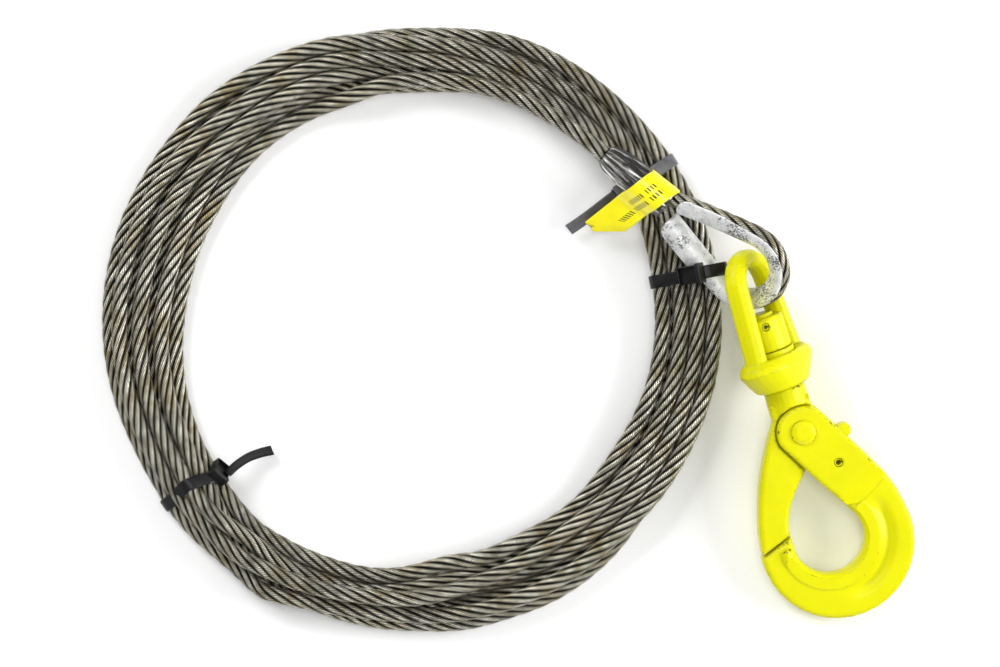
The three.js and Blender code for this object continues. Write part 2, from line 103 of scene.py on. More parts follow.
def mesh_of(name, bm):
    """A new mesh from a bmesh, which is freed."""
    mesh = bpy.data.meshes.new(name)
    bm.to_mesh(mesh)
    bm.free()
    return mesh


def mesh_from(name, verts, quads, uvs=None, triangles=()):
    """A mesh of quads, with a pair in uvs for each corner, and of triangles that close its ends."""
    quads, triangles = np.asarray(quads), np.asarray(triangles, int)
    mesh = bpy.data.meshes.new(name)
    mesh.vertices.add(len(verts))
    mesh.vertices.foreach_set("co", np.asarray(verts, np.float32).ravel())
    loops = np.concatenate([quads.ravel(), triangles.ravel()]).astype(np.int32)
    mesh.loops.add(len(loops))
    mesh.loops.foreach_set("vertex_index", loops)
    starts = np.concatenate([np.arange(len(quads)) * 4, len(quads) * 4 + np.arange(len(triangles)) * 3])
    mesh.polygons.add(len(starts))
    mesh.polygons.foreach_set("loop_start", starts.astype(np.int32))
    mesh.polygons.foreach_set("use_smooth", np.ones(len(starts), bool))
    if uvs is not None:
        flat = np.concatenate([np.reshape(uvs, (-1, 2)), np.zeros((triangles.size, 2))])
        mesh.uv_layers.new(name="along").data.foreach_set("uv", flat.astype(np.float32).ravel())
    mesh.update(calc_edges=True)
    mesh.validate()
    return linked(name, mesh)


def grid(name, rings, along=None, path_closed=False):
    """A skin over closed rings, an array of shape (rings, points, 3). along is each ring's distance."""
    count, around = rings.shape[:2]
    along = np.arange(count) if along is None else np.asarray(along)
    verts = rings.reshape(-1, 3)
    i, j = np.meshgrid(np.arange(count if path_closed else count - 1), np.arange(around), indexing="ij")
    i, j = i.ravel(), j.ravel()
    i2, j2 = (i + 1) % count, (j + 1) % around
    faces = np.stack([i * around + j, i * around + j2, i2 * around + j2, i2 * around + j], 1)
    u0, u1 = j / around, (j + 1) / around
    v0 = along[i]
    v1 = np.where(i2 > i, along[i2], along[i] + along[1] - along[0])
    uvs = np.stack([np.stack(pair, 1) for pair in ((u0, v0), (u1, v0), (u1, v1), (u0, v1))], 1)
    outward = facing_out(verts, faces)
    if not outward:
        faces, uvs = faces[:, ::-1], uvs[:, ::-1]
    if path_closed:
        return mesh_from(name, verts, faces, uvs)
    verts = np.concatenate([verts, rings[0].mean(0)[None], rings[-1].mean(0)[None]])
    first_middle, last_middle = count * around, count * around + 1
    k = np.arange(around)
    k2 = (k + 1) % around
    last = (count - 1) * around
    caps = np.concatenate([np.stack([k2, k, np.full(around, first_middle)], 1),
                           np.stack([last + k, last + k2, np.full(around, last_middle)], 1)])
    return mesh_from(name, verts, faces, uvs, caps if outward else caps[:, ::-1])


def merge(name, parts):
    """One object from several, with its edges over 40 degrees kept sharp."""
    bm = bmesh.new()
    for part in parts:
        bm.from_mesh(part.data)
        bpy.data.objects.remove(part)
    obj = linked(name, mesh_of(name, bm))
    obj.data.polygons.foreach_set("use_smooth", np.ones(len(obj.data.polygons), bool))
    sharp = obj.modifiers.new("sharp_edges", "EDGE_SPLIT")
    sharp.split_angle = math.radians(40)
    return obj


def fair_curve(x, points, at):
    """Smooth interpolation of points given at x, read at other places."""
    x, points = np.asarray(x, float), np.asarray(points, float)
    slope = np.gradient(points, x, axis=0)
    k = np.clip(np.searchsorted(x, at, side="right") - 1, 0, len(x) - 2)
    h = x[k + 1] - x[k]
    t = np.clip((at - x[k]) / h, 0, 1)
    if points.ndim > 1:
        t, h = t[:, None], h[:, None]
    return ((2 * t**3 - 3 * t**2 + 1) * points[k] + (t**3 - 2 * t**2 + t) * h * slope[k]
            + (3 * t**2 - 2 * t**3) * points[k + 1] + (t**3 - t**2) * h * slope[k + 1])


def smooth(low, high, value):
    """0 below low, 1 above high, with an even curve between."""
    t = np.clip((np.asarray(value, float) - low) / (high - low), 0, 1)
    return t * t * (3 - 2 * t)


def resample(line, step):
    """The line again with points about step apart, and each point's distance along it."""
    gaps = np.linalg.norm(np.diff(line, axis=0), axis=1)
    along = np.concatenate([[0], np.cumsum(gaps)])
    at = np.linspace(0, along[-1], max(2, int(math.ceil(along[-1] / step)) + 1))
    return fair_curve(along, line, at), at


# ---- The rope: six strands laid round a path ----------------------------------------------

ROPE_R = 4.75  # in mm, as are the coil's tables below
LAY = 60 * MM
STRAND_RING_R = 3.16 * MM
STRAND_R = 1.58 * MM


def laid_strands(name, line, up, ring_step, around=12, turn=0.0):
    """Six right-hand strands round a line. up is a direction that is never along the line."""
    line, along = resample(line, ring_step)
    tangent = unit(np.gradient(line, along, axis=0))
    side = unit(np.cross(tangent, up))
    below = np.cross(tangent, side)
    strands = []
    for k in range(6):
        phase = (2 * np.pi * along / LAY + 2 * np.pi * k / 6 + turn)[:, None]
        radial = np.cos(phase) * side + np.sin(phase) * below
        centre = line + STRAND_RING_R * radial
        direction = unit(np.gradient(centre, along, axis=0))
        outward = unit(radial - (radial * direction).sum(1)[:, None] * direction)
        across = np.cross(direction, outward)
        angle = (np.arange(around) * 2 * np.pi / around)[None, :, None]
        rings = centre[:, None] + STRAND_R * (
            np.cos(angle) * outward[:, None] + np.sin(angle) * across[:, None])
        strands.append(grid(f"{name}_{k + 1}", rings, along))
    return strands


# Where each turn lies in the bundle: its radius in mm and its layer, 0 on the ground. The first turn
# leaves the sleeve. Each turn has one pair for each of these compass angles.
TURN_ANGLES = range(50, 391, 20)
TURNS = [
    [(147.2, 1), (145.8, 1), (144, 1), (140.8, 0.4), (139.4, 0), (136.6, 0),
     (135.8, 0), (139.2, 0), (143.8, 0.3), (149.6, 1), (148, 1.8), (144.6, 1.2),
     (141, 0.9), (140.2, 0.5), (141.6, 1), (145.4, 1), (146.8, 1), (150.6, 1)],
    [(156, 1), (155.8, 1), (154.4, 1), (160, 1.5), (163.2, 1), (168.4, 1),
     (170.6, 1), (170.6, 1), (165.8, 1.2), (163.9, 2), (158, 2), (153, 2),
     (150.2, 1.3), (149, 1), (151, 1), (155, 1), (156.2, 1), (159.8, 1)],
    [(164.5, 1), (164.3, 1), (164.5, 1), (170.6, 1), (173.3, 1), (175.8, 0.3),
     (175.2, 0), (173, 0), (168.9, 0.1), (168.5, 1), (167.6, 1), (164.8, 1),
     (166.4, 1), (166.6, 1), (168.7, 1), (172, 1), (173.6, 1), (173.8, 1)],
    [(173.2, 1), (172.8, 0.7), (169, 0), (168, 0), (168, 0), (163.4, 0),
     (163.6, 0), (163, 0), (161, 0), (163.8, 0), (158.6, 0), (160, 0),
     (162, 0), (162, 0), (155, 0), (158.9, 0), (160.4, 0), (160.2, 0)],
    [(160, 0), (158, 0), (150.6, 0), (154, 1), (153.8, 1), (156, 1),
     (156.4, 1), (158.6, 1), (157, 1.4), (154.6, 2), (153.6, 1), (151, 1),
     (144, 0.2), (150.5, 0), (146, 0), (149.9, 0), (151, 0), (151, 0)],
    [(151, 0), (149, 0), (142, 0), (149.6, 0), (148.2, 0.3), (146.2, 0.8),
     (145.8, 1), (148.4, 1), (147.8, 1.2), (159, 1), (167.9, 0), (169.6, 0),
     (171.8, 0), (171.8, 0), (164.4, 0), (168.4, 0), (169.8, 0), (169.6, 0)],
    [(169.3, 0), (167.5, 0), (159.8, 0), (158.6, 0), (158.4, 0), (153, 0),
     (151, 0), (152.6, 0), (153.2, 0), (154.4, 0), (149.2, 0), (151.4, 0),
     (153, 0.2), (157, 1), (159.8, 1), (163.6, 1), (165.6, 1), (167, 1)],
]
# The lead comes down from the sleeve onto the bundle: angle, radius and height
LEAD = [(50, 147.2, 28.6), (56, 146.8, 25.2), (63, 146.4, 21.6),
        (71, 146, 17.8), (80, 145.4, 15), (90, 144.4, 13.3)]
LEAD_ENDS = 80
TURN_STEP = 2.5  # degrees between points of the settled rope
LAST_TURN_ENDS = 377  # degrees
LAYER_RISE = 8.25
KEEP_APART = 9.45


def wound_turns():
    """Angle, radius and height of the coiled rope, settled so that no turn lies in another.

    Each round pulls the rope towards its place in the bundle, lets it sag and evens out its bends.
    Then it pushes touching turns apart. The last rounds only push.
    """
    angle, radius, height = [], [], []
    for k, turn in enumerate(TURNS):
        for a, (r, layer) in zip(TURN_ANGLES, turn):
            angle.append(a + 360 * k)
            radius.append(r)
            height.append(ROPE_R + LAYER_RISE * layer)
    theta = np.arange(TURN_ANGLES[0], 360 * (len(TURNS) - 1) + LAST_TURN_ENDS, TURN_STEP)
    wanted = fair_curve(angle, np.stack([radius, height], 1), theta)
    fixed = theta <= LEAD_ENDS
    lead = np.array(LEAD, float)
    wanted[fixed] = fair_curve(lead[:, 0], lead[:, 1:], theta[fixed])
    pos = wanted.copy()
    per_turn = int(round(360 / TURN_STEP))
    pull_rounds, push_rounds, sag = 900, 60, 0.03
    for step in range(pull_rounds + push_rounds):
        if step < pull_rounds:
            pull = 0.03 if step < 0.6 * pull_rounds else 0.012
            pos[:, 0] += pull * (wanted[:, 0] - pos[:, 0])
            pos[:, 1] += 0.5 * pull * (wanted[:, 1] - pos[:, 1]) - sag
            flat = np.zeros_like(pos)
            flat[1:-1] = (pos[:-2] + pos[2:]) / 2 - pos[1:-1]
            stiff = np.zeros_like(pos)
            stiff[2:-2] = (flat[1:-3] + flat[3:-1]) / 2 - flat[2:-2]
            pos += 0.10 * flat - 0.12 * stiff
        for k in range(1, len(TURNS)):
            s = per_turn * k
            gap = pos[s:] - pos[:-s]
            far = np.linalg.norm(gap, axis=1, keepdims=True) + 1e-9
            push = np.clip(KEEP_APART - far, 0, None) * 0.5 * gap / far
            pos[s:] += push
            pos[:-s] -= push
        pos[:, 1] = np.maximum(pos[:, 1], ROPE_R)
        pos[fixed] = wanted[fixed]
    return theta, pos


THETA, WOUND = wound_turns()


def round_coil(theta, radius, height):
    """World points from degrees round the coil and millimetres."""
    a = np.radians(theta)
    return np.stack([radius * np.cos(a), radius * np.sin(a), height], -1) * MM + COIL_CENTRE


NECK_X = -102.3  # where the rope leaves the sleeve's neck, in the eye's frame
STRAIGHT_OUT = 5.7
neck = place(EYE, np.array([[NECK_X, 0, 0], [NECK_X - STRAIGHT_OUT, 0, 0]]) * MM)
free_line = np.concatenate([neck, round_coil(THETA[1:], WOUND[1:, 0], WOUND[1:, 1])])


# ---- Materials ---------------------------------------------------------------------------


class Nodes:
    """A short way to write a procedural material."""

    def __init__(self, name):
        self.material = bpy.data.materials.new(name)
        self.material.use_nodes = True
        self.tree = self.material.node_tree
        self.shader = self.tree.nodes["Principled BSDF"]

    def add(self, kind, inputs=None, **settings):
        node = self.tree.nodes.new(kind)
        for key, value in settings.items():
            setattr(node, key, value)
        for key, value in (inputs or {}).items():
            self.put(node.inputs[key], value)
        return node

    def put(self, socket, value):
        if isinstance(value, bpy.types.NodeSocket):
            self.tree.links.new(value, socket)
        else:
            socket.default_value = value

    def math(self, operation, a, b=0.5, clamp=False):
        node = self.add("ShaderNodeMath", operation=operation, use_clamp=clamp)
        self.put(node.inputs[0], a)
        self.put(node.inputs[1], b)
        return node.outputs[0]

    def noise(self, scale, detail=4.0, rough=0.6, vector=None):
        node = self.add("ShaderNodeTexNoise", {"Scale": scale, "Detail": detail, "Roughness": rough})
        self.put(node.inputs["Vector"], vector if vector is not None else self.place())
        return node.outputs["Fac"]

    def place(self, scale=None):
        if not hasattr(self, "_place"):
            self._place = self.add("ShaderNodeTexCoord").outputs["Object"]
        if scale is None:
            return self._place
        return self.add("ShaderNodeMapping", {"Vector": self._place, "Scale": scale}).outputs[0]

    def ramp(self, fac, stops):
        node = self.add("ShaderNodeValToRGB", {"Fac": fac})
        while len(node.color_ramp.elements) < len(stops):
            node.color_ramp.elements.new(0.5)
        for element, (at, colour) in zip(node.color_ramp.elements, stops):
            element.position = at
            element.color = (*colour, 1)
        return node.outputs["Color"]

    def value_ramp(self, fac, stops):
        return self.ramp(fac, [(at, (v, v, v)) for at, v in stops])

    def mix(self, fac, a, b):
        node = self.add("ShaderNodeMix", data_type="RGBA")
        self.put(node.inputs["Factor"], fac)
        for socket, value in ((node.inputs[6], a), (node.inputs[7], b)):
            self.put(socket, (*value, 1) if isinstance(value, tuple) else value)
        return node.outputs[2]

    def bump(self, height, strength, distance, normal=None):
        node = self.add("ShaderNodeBump", {"Height": height, "Strength": strength, "Distance": distance})
        if normal is not None:
            self.put(node.inputs["Normal"], normal)
        return node.outputs[0]

    def uv(self):
        """How far round the skin, 0 to 1, and how far along it in metres."""
        node = self.add("ShaderNodeUVMap", uv_map="along")
        split = self.add("ShaderNodeSeparateXYZ", {"Vector": node.outputs[0]})
        return split.outputs[0], split.outputs[1]

    def attribute(self, name):
        return self.add("ShaderNodeAttribute", attribute_name=name).outputs["Fac"]

    def finish(self, **sockets):
        for key, value in sockets.items():
            name = {"color": "Base Color", "rough": "Roughness", "metal": "Metallic", "normal": "Normal",
                    "coat": "Coat Weight", "coat_rough": "Coat Roughness",
                    "specular": "Specular IOR Level"}[key]
            if isinstance(value, tuple):
                value = (*value, 1)
            self.put(self.shader.inputs[name], value)
        return self.material


WIRES = 8  # outer wires in a strand
WIRE_LAY = 12 * MM


def rope_material():
    """Dull steel wires laid in each strand, a little brown, with painted shade between the strands and in the
    grooves between the wires.
    """
    n = Nodes("wire_rope_strands")
    u, v = n.uv()
    turn = n.math("ADD", u, n.math("DIVIDE", v, WIRE_LAY))
    wave = n.math("FRACT", n.math("MULTIPLY", turn, float(WIRES)))
    off = n.math("ABSOLUTE", n.math("SUBTRACT", n.math("MULTIPLY", wave, 2.0), 1.0))
    dome = n.math("SQRT", n.math("SUBTRACT", 1.0, n.math("MULTIPLY", off, off), clamp=True))
    # how far round the strand from its outer line: 0 outside, 1 in the rope's core
    lean = n.math("ABSOLUTE", n.math("SUBTRACT", n.math("MULTIPLY", u, 2.0), 1.0))
    outer = n.value_ramp(lean, [(0.50, 0.0), (0.80, 1.0)])
    grime = n.noise(110, 5, 0.65)
    streak = n.noise(900, 2, 0.5)
    tint = n.ramp(n.noise(45, 3, 0.6), [(0.34, (0.33, 0.32, 0.27)), (0.5, (0.38, 0.35, 0.24)),
                                        (0.64, (0.42, 0.34, 0.18))])
    bright = n.mix(n.value_ramp(grime, [(0.38, 0.0), (0.66, 0.9)]), tint, (1.0, 0.97, 0.83))
    steel = n.mix(n.value_ramp(streak, [(0.38, 0.0), (0.75, 0.5)]), bright, (0.10, 0.09, 0.065))
    # painted shade in the grooves between the wires: only the wire crowns keep the steel colour
    groove_shaded = n.mix(n.value_ramp(dome, [(0.0, 1.0), (0.66, 0.85), (0.93, 0.0)]), steel, (0.008, 0.007, 0.005))
    # painted shade on each strand's side towards the rope's core, where the strands meet
    color = n.mix(n.value_ramp(outer, [(0.0, 1.0), (0.5, 0.8), (1.0, 0.0)]), groove_shaded, (0.006, 0.005, 0.004))
    rough = n.value_ramp(grime, [(0.3, 0.38), (0.7, 0.26)])
    height = n.math("ADD", dome, n.math("MULTIPLY", streak, 0.15))
    return n.finish(color=color, rough=rough, metal=0.8, normal=n.bump(height, 1.0, 0.00040))


def paint_material():
    """Lime-yellow paint with chips and scuffs on its edges."""
    n = Nodes("lime_powder_coat")
    edge = n.attribute("wear")
    broad = n.noise(28, 4, 0.6)
    fine = n.noise(420, 4, 0.7)
    body = n.ramp(broad, [(0.3, (0.63, 0.617, 0.0)), (0.7, (0.72, 0.693, 0.0))])
    # small chips, only where an edge stands out
    chip = n.math("MULTIPLY", n.value_ramp(edge, [(0.58, 0.0), (0.72, 1.0)]),
                  n.math("MULTIPLY", n.value_ramp(fine, [(0.50, 0.0), (0.56, 1.0)]),
                         n.value_ramp(n.noise(70, 2, 0.5), [(0.58, 0.0), (0.62, 1.0)])))
    # fine scuffs near the edges
    scuff = n.math("MULTIPLY", n.value_ramp(n.noise(1.0, 3, 0.75, n.place((150, 700, 300))),
                                            [(0.50, 0.0), (0.62, 0.5)]),
                   n.value_ramp(edge, [(0.55, 0.0), (0.68, 1.0)]))
    # darker in hollows and where two shapes meet
    crease = n.value_ramp(edge, [(0.16, 0.8), (0.44, 0.0)])
    color = n.mix(crease, body, (0.36, 0.40, 0.0))
    color = n.mix(scuff, color, (0.30, 0.31, 0.01))
    color = n.mix(chip, color, (0.045, 0.043, 0.02))
    normal = n.bump(n.noise(420, 3, 0.55), 0.18, 0.0002, n.bump(n.noise(70, 3, 0.5), 0.30, 0.0006))
    return n.finish(color=color, rough=n.value_ramp(chip, [(0, 0.36), (1, 0.6)]), metal=0.0, normal=normal,
                    specular=0.16, coat=0.04, coat_rough=0.2)


def galvanised_material():
    """Cloudy hot-dip zinc with dark pits."""
    n = Nodes("hot_dip_zinc")
    cloud = n.noise(140, 5, 0.7)
    speck = n.noise(900, 3, 0.6)
    base = n.ramp(cloud, [(0.3, (0.48, 0.49, 0.49)), (0.5, (0.74, 0.75, 0.74)), (0.7, (0.92, 0.93, 0.92))])
    pits = n.value_ramp(n.math("MULTIPLY", speck, n.noise(75, 3, 0.6)), [(0.275, 0.0), (0.325, 0.85)])
    color = n.mix(pits, base, (0.06, 0.06, 0.058))
    grime = n.value_ramp(n.attribute("wear"), [(0.1, 0.55), (0.4, 0.0)])
    color = n.mix(grime, color, (0.12, 0.12, 0.11))
    normal = n.bump(n.noise(320, 4, 0.6), 0.5, 0.0003)
    rough = n.value_ramp(cloud, [(0.3, 0.55), (0.7, 0.40)])
    return n.finish(color=color, rough=rough, metal=0.45, normal=normal)


def sleeve_material():
    """Dark pressed steel with bright streaks along it."""
    n = Nodes("swaged_steel")
    u, v = n.uv()
    stretched = {"X": n.math("MULTIPLY", u, 26.0), "Y": n.math("MULTIPLY", v, 40.0)}
    streak = n.noise(1.0, 4, 0.7, n.add("ShaderNodeCombineXYZ", stretched).outputs[0])
    blotch = n.noise(120, 4, 0.6)
    dark = n.ramp(blotch, [(0.3, (0.035, 0.032, 0.03)), (0.7, (0.14, 0.135, 0.125))])
    color = n.mix(n.value_ramp(streak, [(0.52, 0.0), (0.62, 0.95)]), dark, (0.82, 0.82, 0.80))
    normal = n.bump(streak, 0.35, 0.0002)
    rough = n.value_ramp(blotch, [(0.3, 0.36), (0.7, 0.24)])
    return n.finish(color=color, rough=rough, metal=0.92, normal=normal)


def steel_material(name, color, rough):
    n = Nodes(name)
    cloud = n.noise(300, 4, 0.6)
    shade = n.mix(n.value_ramp(cloud, [(0.3, 0.0), (0.7, 0.5)]), color, tuple(0.5 * c for c in color))
    return n.finish(color=shade, rough=n.value_ramp(cloud, [(0.3, rough), (0.7, rough + 0.15)]), metal=0.95,
                    normal=n.bump(n.noise(1500, 2), 0.2, 0.0001))


def nylon_material(name, low, high):
    """Moulded nylon between two greys."""
    n = Nodes(name)
    cloud = n.noise(200, 4, 0.6)
    color = n.ramp(cloud, [(0.3, (low, low, 1.1 * low)), (0.7, (high, high, 1.1 * high))])
    return n.finish(color=color, rough=n.value_ramp(cloud, [(0.3, 0.28), (0.7, 0.42)]), metal=0.0,
                    normal=n.bump(n.noise(900, 3), 0.25, 0.0001), specular=0.3)


def label_material():
    """Yellow film with two rows of plain dashes. The print layer holds millimetres on the film."""
    n = Nodes("yellow_label_film")
    split = n.add("ShaderNodeSeparateXYZ", {"Vector": n.add("ShaderNodeUVMap", uv_map="print").outputs[0]})
    along, across = split.outputs[0], split.outputs[1]
    cloud = n.noise(90, 4, 0.6)
    color = n.ramp(cloud, [(0.3, (0.95, 0.83, 0.0)), (0.7, (1.0, 0.92, 0.004))])
    ink = None
    for row, pitch, first, last in ((1.9, 1.9, 7.0, 34.0), (-3.3, 2.1, 7.0, 49.0)):
        off = n.math("ABSOLUTE", n.math("SUBTRACT", across, row))
        line = n.math("LESS_THAN", off, 1.6)
        dash = n.math("LESS_THAN", n.math("FRACT", n.math("DIVIDE", along, pitch)), 0.5)
        word = n.math("LESS_THAN", n.math("FRACT", n.math("DIVIDE", along, pitch * 9)), 0.82)
        inside = n.math("MULTIPLY", n.math("GREATER_THAN", along, first), n.math("LESS_THAN", along, last))
        mark = n.math("MULTIPLY", n.math("MULTIPLY", line, dash), n.math("MULTIPLY", word, inside))
        ink = mark if ink is None else n.math("ADD", ink, mark, clamp=True)
    fade = n.value_ramp(n.noise(800, 3, 0.6), [(0.30, 0.55), (0.42, 0.95)])
    color = n.mix(n.math("MULTIPLY", ink, fade), color, (0.03, 0.028, 0.015))
    return n.finish(color=color, rough=0.32, metal=0.0, normal=n.bump(cloud, 0.12, 0.0003), coat=0.3)


ROPE_LOOK = rope_material()
PAINT = paint_material()
ZINC = galvanised_material()
SWAGED = sleeve_material()
BEARING = steel_material("bearing_steel", (0.6, 0.6, 0.58), 0.25)
SPRING = steel_material("spring_wire", (0.35, 0.35, 0.34), 0.35)
NYLON = nylon_material("black_nylon_tie", 0.003, 0.010)
# The upper tie's lighter grey is a painted reflection of its semi-gloss strap.
SHEEN_PAINTED_NYLON = nylon_material("nylon_tie_painted_sheen", 0.085, 0.14)
FILM = label_material()


def dress(obj, material):
    """Puts one material on an object."""
    obj.data.materials.clear()
    obj.data.materials.append(material)
    return obj


def piece(obj, material, body, slot, *nodes):
    """Gives a visual piece its look, its body and the CAD nodes it replaces. slot is not used."""
    dress(obj, material)
    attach(obj, body)
    if nodes:
        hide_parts(*nodes)
    return obj


# ---- Camera: straight above, with a long lens -----------------------------------------------

CAMERA_HEIGHT = 2.6
VIEW_WIDTH = 0.578
camera_data = bpy.data.cameras.new("camera")
camera_data.sensor_width = 36
camera_data.lens = 36 * (CAMERA_HEIGHT - 0.015) / VIEW_WIDTH
camera_data.clip_start, camera_data.clip_end = 0.05, 20
camera = linked("camera", camera_data)
camera.location = (-0.0057, -0.00335, CAMERA_HEIGHT)
bpy.context.scene.camera = camera
bpy.context.scene.view_settings.view_transform = "Standard"

# ---- Free rope: the lead and the coil ------------------------------------------------------

RING_STEP = 1.4 * MM
strands = laid_strands("rope_strand", free_line, (0, 0, 1), RING_STEP, around=12)
for strand in strands:
    piece(strand, ROPE_LOOK, "sling", "wire_rope")
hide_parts("rope_coil", "rope_lead")

# ---- CAD nodes with finished surfaces --------------------------------------------------------


def convexity(obj, reach=3):
    """Stores how far each point stands out from its neighbours, smoothed, as attribute wear."""
    mesh = obj.data
    count = len(mesh.vertices)
    co = np.zeros(count * 3)
    mesh.vertices.foreach_get("co", co)
    co = co.reshape(-1, 3)
    normal = np.zeros(count * 3)
    mesh.vertices.foreach_get("normal", normal)
    normal = normal.reshape(-1, 3)
    edges = np.zeros(len(mesh.edges) * 2, np.int32)
    mesh.edges.foreach_get("vertices", edges)
    a, b = edges.reshape(-1, 2).T
    degree = np.maximum(np.bincount(a, minlength=count) + np.bincount(b, minlength=count), 1)

    def around(values):
        total = np.bincount(a, values[b], count) + np.bincount(b, values[a], count)
        return total / degree

    mean = np.stack([around(co[:, k]) for k in range(3)], 1)
    spread = np.sqrt(np.maximum(around((co**2).sum(1)) - (mean**2).sum(1), 1e-12))
    bend = ((co - mean) * normal).sum(1) / spread
    for _ in range(reach):
        bend = 0.5 * bend + 0.5 * around(bend)
    value = np.clip(0.5 + 3.2 * bend, 0, 1)
    layer = mesh.attributes.new("wear", "FLOAT", "POINT")
    layer.data.foreach_set("value", value.astype(np.float32))


def forged(node, material, body, slot, voxel, rounds, shaped=None):
    """The CAD node's shape again as one fine skin with softened edges."""
    source = frame["nodes"][node]
    obj = linked(f"{node}_skin", source.data.copy())
    remesh = obj.modifiers.new("remesh", "REMESH")
    remesh.mode = "VOXEL"
    remesh.voxel_size = voxel * MM * 1
    soft = obj.modifiers.new("soft", "SMOOTH")
    soft.factor, soft.iterations = 0.5, rounds
    depsgraph = bpy.context.evaluated_depsgraph_get()
    mesh = bpy.data.meshes.new_from_object(obj.evaluated_get(depsgraph))
    obj.modifiers.clear()
    obj.data = mesh
    if shaped:
        shaped(mesh)
    mesh.polygons.foreach_set("use_smooth", np.ones(len(mesh.polygons), bool))
    mesh.update()
    convexity(obj)
    return piece(obj, material, body, slot, node)


def finished(node, material):
    """A CAD node kept as it is, in its finish."""
    return dress(frame["nodes"][node], material)


def hook_frame_points(mesh):
    """The mesh's points in the hook's frame, in millimetres."""
    co = np.zeros(len(mesh.vertices) * 3)
    mesh.vertices.foreach_get("co", co)
    return (co.reshape(-1, 3) - HOOK[:3, 3]) @ HOOK[:3, :3] / MM


def put_hook_frame_points(mesh, local):
    """Moves the mesh's points to these places in the hook's frame."""
    mesh.vertices.foreach_set("co", place(HOOK, local * MM).ravel())
    mesh.update()


def shape_hook_body(mesh):
    """Runs the fork's cheeks out into the back, and sinks a crescent outside the bowl's bead."""
    cheek, back = 11.4, 8.2
    bowl_x, bowl_y, crescent_r, crescent_width, crescent_depth = -4, -64.5, 34.5, 3.4, 2.4
    p = hook_frame_points(mesh)
    side = np.sign(p[:, 2])
    high = np.abs(p[:, 2])
    down_fork = p[:, 0] * 0.45 - p[:, 1] * 0.89
    ceiling = cheek - (cheek - back) * smooth(41, 53, down_fork)
    high = np.where(high > 7.2, np.minimum(high, ceiling), high)
    dx, dy = p[:, 0] - bowl_x, p[:, 1] - bowl_y
    around = np.degrees(np.arctan2(dy, dx))
    ring = np.exp(-(((np.hypot(dx, dy) - crescent_r) / crescent_width) ** 2))
    sweep = smooth(-92, -62, around) * (1 - smooth(2, 34, around))
    high = high - crescent_depth * ring * sweep * (high > 4)
    p[:, 2] = side * high
    put_hook_frame_points(mesh, p)


forged("hook_body", PAINT, "hook_body", "hook_paint", 0.55, 10, shape_hook_body)
forged("gate_shank", PAINT, "shank", "hook_paint", 0.5, 8)
forged("bail", PAINT, "bail", "hook_paint", 0.5, 10)
forged("swivel_nut", PAINT, "shank", "hook_paint", 0.4, 5)
forged("bearing_upper_race", PAINT, "shank", "hook_paint", 0.35, 4)
forged("load_pin", PAINT, "hook_body", "hook_paint", 0.35, 4)
forged("trigger", PAINT, "trigger", "hook_paint", 0.35, 4)
forged("trigger_pin", PAINT, "hook_body", "hook_paint", 0.22, 2)
forged("nut_pin", PAINT, "shank", "hook_paint", 0.22, 2)

# The shank's axis stands 2.5 mm off the load pin's
SHANK = HOOK @ axes_matrix([1, 0, 0], [0, 1, 0], [0, 0, 1], np.array([-2.5, 0, 0]) * MM)


def lathe(name, matrix, profile, around=96):
    """A ring turned about the matrix's y axis from a closed profile of radius and height in mm."""
    profile = np.array(profile)
    angle = np.linspace(0, 2 * np.pi, around, endpoint=False)
    rings = np.stack([profile[:, :1] * np.cos(angle), profile[:, 1:] + 0 * angle,
                      profile[:, :1] * np.sin(angle)], -1)
    return grid(name, place(matrix, rings * MM), path_closed=True)


def race():
    """The lower thrust washer, with rounded rims and a ball groove on its upper side."""
    inner, outer, rim, low, high = 7.4, 12.8, 0.3, 38.9, 41.4
    groove_r, half_groove, depth = 10.3, 1.9, 0.6
    track = [(groove_r + half_groove * k, high - depth * math.sqrt(1 - k * k))
             for k in np.linspace(1, -1, 17)]
    profile = [(inner + rim, low), (outer - rim, low), (outer, low + rim), (outer, high - rim),
               (outer - rim, high), *track, (inner + rim, high), (inner, high - rim), (inner, low + rim)]
    return lathe("bearing_lower_race_fine", SHANK, profile)


def ball_ring():
    """Ten balls in a thin pressed cage."""
    count, pitch_r, height = 10, 10.3, 43.8
    bm = bmesh.new()
    for i in range(count):
        angle = i * 2 * math.pi / count
        at = place(SHANK, np.array([pitch_r * math.cos(angle), height, pitch_r * math.sin(angle)]) * MM)
        bmesh.ops.create_icosphere(bm, subdivisions=3, radius=2.03 * MM, matrix=Matrix.Translation(at))
    balls = linked("bearing_balls", mesh_of("bearing_balls", bm))
    cage = lathe("bearing_cage", SHANK, [(9.6, 43.3), (11.5, 43.3), (11.6, 43.5), (11.6, 44.1), (11.5, 44.3),
                                         (9.6, 44.3), (9.5, 44.1), (9.5, 43.5)])
    return merge("bearing_ball_ring_fine", [balls, cage])


def torsion_spring():
    """Two and a half turns of round wire with a leg at each end, about the trigger's pin."""
    pivot, coil_r, wire_r = (14, -23), 3.9, 0.42
    a = np.linspace(0, 2.5 * 2 * math.pi, 120)
    turn = np.stack([pivot[0] + coil_r * np.cos(a - math.pi / 2), pivot[1] + coil_r * np.sin(a - math.pi / 2),
                     2.3 + 2.1 * a / a[-1]], 1)
    line = np.concatenate([[[pivot[0] - 5, pivot[1] - coil_r - 1.8, 2.3]], turn,
                           [[pivot[0] + 1, pivot[1] + 6, 4.4]]])
    line, along = resample(line, 0.35)
    tangent = unit(np.gradient(line, along, axis=0))
    side = unit(np.cross(tangent, [0, 0, 1.0]))
    over = np.cross(side, tangent)
    angle = np.linspace(0, 2 * np.pi, 12, endpoint=False)[None, :, None]
    rings = line[:, None] + wire_r * (np.cos(angle) * side[:, None] + np.sin(angle) * over[:, None])
    return grid("trigger_spring_wire", place(HOOK, rings * MM), along * MM)


